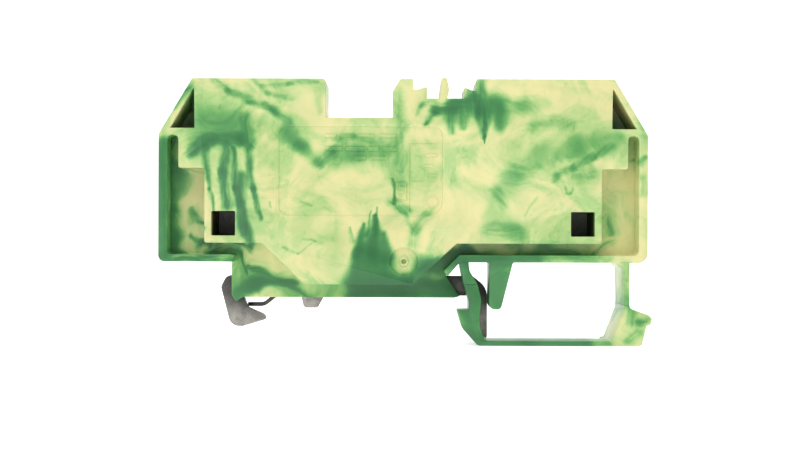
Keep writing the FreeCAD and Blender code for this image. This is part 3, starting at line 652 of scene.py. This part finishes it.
# broader bars: three in the frame, rows across the top and a column on the right
LABEL_BARS = [
    (6.55, 7.65, 17.5, 17.9), (6.55, 7.65, 16.9, 17.2), (6.9, 7.3, 16.1, 16.5),
    (-4.9, -3.1, 25.6, 26.2), (-2.7, -0.3, 25.6, 26.2),
    (0.1, 2.9, 25.6, 26.2), (3.3, 6.4, 25.6, 26.2),
    (-4.9, -2.2, 23.5, 24.2), (-1.8, 1.4, 23.5, 24.2),
    (1.8, 3.7, 23.5, 24.2), (4.1, 6.5, 23.5, 24.2),
    (-0.4, 1.6, 22.1, 22.7), (2.0, 5.0, 22.1, 22.7),
    (10.9, 12.9, 22.6, 23.1), (10.9, 12.3, 20.9, 21.4), (11.3, 12.9, 19.4, 19.8),
]
LINE_RISE = 0.14
BAR_RISE = 0.17

# Raised rings, in millimetres as (name, centre, inner and outer radius, depth of the floor, rise).
RINGS = [
    ("label_ring", (12.1, 15.4), (0.75, 1.0), PANEL_DEPTH, 0.12),
    ("gate_nub", (7.6, 5.95), (0.36, 0.8), DIMPLE_DEPTH, 0.38),
    ("ejector_ring", (40.3, 13.8), (0.55, 0.8), RECESS_DEPTH, 0.08),
]


def add_raised(work, base, top):
    """Adds a raised shape between two loops of points, and closes its top."""
    low = [work.verts.new(point) for point in base]
    high = [work.verts.new(point) for point in top]
    for i in range(len(low)):
        j = (i + 1) % len(low)
        work.faces.new((low[i], low[j], high[j], high[i]))
    work.faces.new(high)


def add_strip(work, strip, floor, rise):
    """A flat strip with sloping sides that rises from a floor towards -Y. Lengths in millimetres."""
    low_x, high_x, low_z, high_z = strip
    slope = 0.06
    base = [(low_x, low_z), (high_x, low_z), (high_x, high_z), (low_x, high_z)]
    top = [(low_x + slope, low_z + slope), (high_x - slope, low_z + slope),
           (high_x - slope, high_z - slope), (low_x + slope, high_z - slope)]
    add_raised(work, [(x * MM, floor * MM, z * MM) for x, z in base],
               [(x * MM, (floor - rise) * MM, z * MM) for x, z in top])


def add_ring(work, centre, radii, floor, rise):
    """A raised ring with a rounded top. Lengths in millimetres."""
    inner, outer = radii
    middle_radius = (inner + outer) / 2
    half = (outer - inner) / 2
    steps, arc_steps = 40, 6
    rows = []
    for step in range(arc_steps + 1):
        angle = math.pi * step / arc_steps
        radius = middle_radius + half * math.cos(angle)
        y = (floor - rise * math.sin(angle)) * MM
        row = []
        for i in range(steps):
            turn = 2 * math.pi * i / steps
            x = (centre[0] + radius * math.cos(turn)) * MM
            z = (centre[1] + radius * math.sin(turn)) * MM
            row.append(work.verts.new((x, y, z)))
        rows.append(row)
    for first, second in zip(rows, rows[1:]):
        for i in range(steps):
            j = (i + 1) % steps
            work.faces.new((first[i], first[j], second[j], second[i]))


def finish_mark(work, name, smooth):
    """Turns raised shapes into one piece of the housing's moulding."""
    bmesh.ops.recalc_face_normals(work, faces=work.faces)
    mesh = bpy.data.meshes.new(name)
    work.to_mesh(mesh)
    work.free()
    for polygon in mesh.polygons:
        polygon.use_smooth = smooth
    obj = bpy.data.objects.new(name, mesh)
    bpy.context.scene.collection.objects.link(obj)
    mesh.materials.append(plastic)
    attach(obj, "block")


def make_marks():
    """The raised marks in the label panel, the moulding gate's nub and the ejector's ring."""
    work = bmesh.new()
    for strip in LABEL_LINES:
        add_strip(work, strip, FRONT + PANEL_DEPTH, LINE_RISE)
    for strip in LABEL_BARS:
        add_strip(work, strip, FRONT + PANEL_DEPTH, BAR_RISE)
    finish_mark(work, "label_marks", False)
    for name, centre, radii, depth, rise in RINGS:
        work = bmesh.new()
        add_ring(work, centre, radii, FRONT + depth, rise)
        finish_mark(work, name, True)


# ---------------------------------------------------------------- studio

def make_floor():
    """A pale floor that curves up into a backdrop."""
    level = cad_low.z - 0.02 * MM
    half_width = 1.2
    front_edge = -1.0
    bend_start = 0.35
    radius = 0.4
    height = 1.2
    profile = [(front_edge, level), (bend_start, level)]
    for step in range(1, 17):
        angle = math.pi / 2 * step / 16
        profile.append((bend_start + radius * math.sin(angle), level + radius * (1 - math.cos(angle))))
    profile.append((bend_start + radius, level + height))
    vertices = [(x, y, z) for y, z in profile for x in (-half_width, half_width)]
    faces = [(2 * i, 2 * i + 1, 2 * i + 3, 2 * i + 2) for i in range(len(profile) - 1)]
    mesh = bpy.data.meshes.new("floor")
    mesh.from_pydata(vertices, [], faces)
    floor = bpy.data.objects.new("floor", mesh)
    bpy.context.scene.collection.objects.link(floor)
    for polygon in mesh.polygons:
        polygon.use_smooth = True
    material, tree, shader = new_material("pale_paper")
    coords = tree.add("ShaderNodeTexCoord").outputs["Object"]
    fibres = tree.noise(coords, 60.0, detail=3.0).outputs["Fac"]
    tree.feed(shader.inputs["Base Color"],
              tree.mix(tree.remap(fibres, 0.3, 0.7, 0.0, 1.0), rgb("F4F4F3"), rgb("F8F8F7")))
    shader.inputs["Roughness"].default_value = 0.9
    shader.inputs["Emission Color"].default_value = (1.0, 1.0, 1.0, 1.0)
    shader.inputs["Emission Strength"].default_value = 0.6
    floor.data.materials.append(material)


def make_light(name, place, aim, size, power):
    """A square softbox at a place, turned towards its aim. Metres and watts."""
    lamp = bpy.data.lights.new(name, "AREA")
    lamp.shape = "SQUARE"
    lamp.size = size
    lamp.energy = power
    obj = bpy.data.objects.new(name, lamp)
    bpy.context.scene.collection.objects.link(obj)
    obj.location = place
    obj.rotation_mode = "QUATERNION"
    obj.rotation_quaternion = (Vector(aim) - Vector(place)).to_track_quat("-Z", "Y")


def make_lights():
    """An even white surround with softboxes above, in front and behind."""
    world = bpy.data.worlds.new("studio")
    world.use_nodes = True
    background = world.node_tree.nodes["Background"]
    background.inputs["Color"].default_value = (1.0, 1.0, 1.0, 1.0)
    background.inputs["Strength"].default_value = 0.27
    bpy.context.scene.world = world
    centre = (cad_low + cad_high) / 2
    make_light("top_softbox", (0.0, -0.30, 0.55), centre, 0.45, 2.0)
    make_light("front_softbox", (-0.25, -0.68, 0.46), centre, 0.5, 1.0)
    make_light("back_softbox", (0.25, 0.30, 0.50), centre, 0.4, 0.8)


def make_camera():
    """The camera stands straight in front of the closed face and looks along +Y."""
    lens = bpy.data.cameras.new("camera")
    lens.sensor_width = 36.0
    lens.lens = 62.6
    lens.clip_start = 0.01
    lens.clip_end = 10.0
    camera = bpy.data.objects.new("camera", lens)
    bpy.context.scene.collection.objects.link(camera)
    aside = 6.98 * MM
    away = 221 * MM
    level = 11.6 * MM
    roll = math.radians(-0.2)
    camera.location = (aside, cad_low.y - away, level)
    camera.rotation_euler = (math.radians(90), roll, 0)
    bpy.context.scene.camera = camera


dress_nodes()
make_flexures()
make_clamp_springs()
make_marks()
make_floor()
make_lights()
make_camera()
bpy.context.scene.view_settings.view_transform = "Standard"
